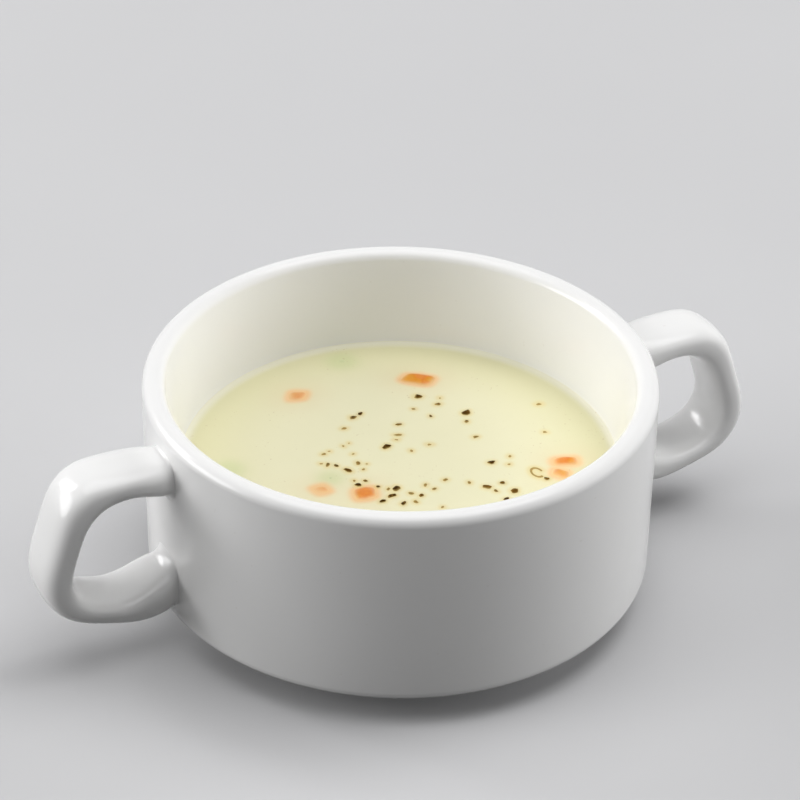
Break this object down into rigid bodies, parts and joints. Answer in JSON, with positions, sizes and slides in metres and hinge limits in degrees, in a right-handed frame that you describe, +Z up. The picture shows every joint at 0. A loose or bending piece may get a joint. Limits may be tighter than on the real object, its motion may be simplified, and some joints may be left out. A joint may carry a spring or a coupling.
{
  "type": "soup cup",
  "caption": "Straight-sided porcelain soup cup with a loop handle on each side and a recessed foot ring, holding cream soup with diced carrot, herbs and cracked pepper.",
  "frame": {"origin": "centre of the circle that the foot ring stands on", "axes": "+Z up along the cup's axis, +X out along the right handle"},
  "size_m": [0.1606, 0.105, 0.05],
  "materials": {
    "porcelain": "clear gloss glaze over white porcelain",
    "soup": "wet, smooth, pale cream",
    "carrot": "wet, cooked orange",
    "herb": "wet green leaf",
    "pepper": "cracked, matt, dark brown"
  },
  "bodies": {
    "root": {"cup_body": "porcelain", "handle_left": "porcelain", "handle_right": "porcelain", "soup": "soup", "carrot_dice_1": "carrot", "carrot_dice_2": "carrot", "carrot_dice_3": "carrot", "carrot_dice_4": "carrot", "carrot_dice_5": "carrot", "carrot_dice_6": "carrot", "herb_fleck_1": "herb", "herb_fleck_2": "herb", "herb_fleck_3": "herb", "pepper_fleck_1": "pepper", "pepper_fleck_2": "pepper", "pepper_fleck_3": "pepper", "pepper_fleck_4": "pepper", "pepper_fleck_5": "pepper", "pepper_fleck_6": "pepper", "pepper_fleck_7": "pepper", "pepper_fleck_8": "pepper", "pepper_fleck_9": "pepper", "pepper_fleck_10": "pepper", "pepper_fleck_11": "pepper", "pepper_fleck_12": "pepper", "pepper_fleck_13": "pepper", "pepper_fleck_14": "pepper", "pepper_fleck_15": "pepper", "pepper_fleck_16": "pepper", "pepper_fleck_17": "pepper", "pepper_fleck_18": "pepper", "pepper_fleck_19": "pepper", "pepper_fleck_20": "pepper", "pepper_fleck_21": "pepper", "pepper_fleck_22": "pepper", "pepper_fleck_23": "pepper", "pepper_fleck_24": "pepper", "pepper_fleck_25": "pepper", "pepper_fleck_26": "pepper"}
  },
  "joints": []
}
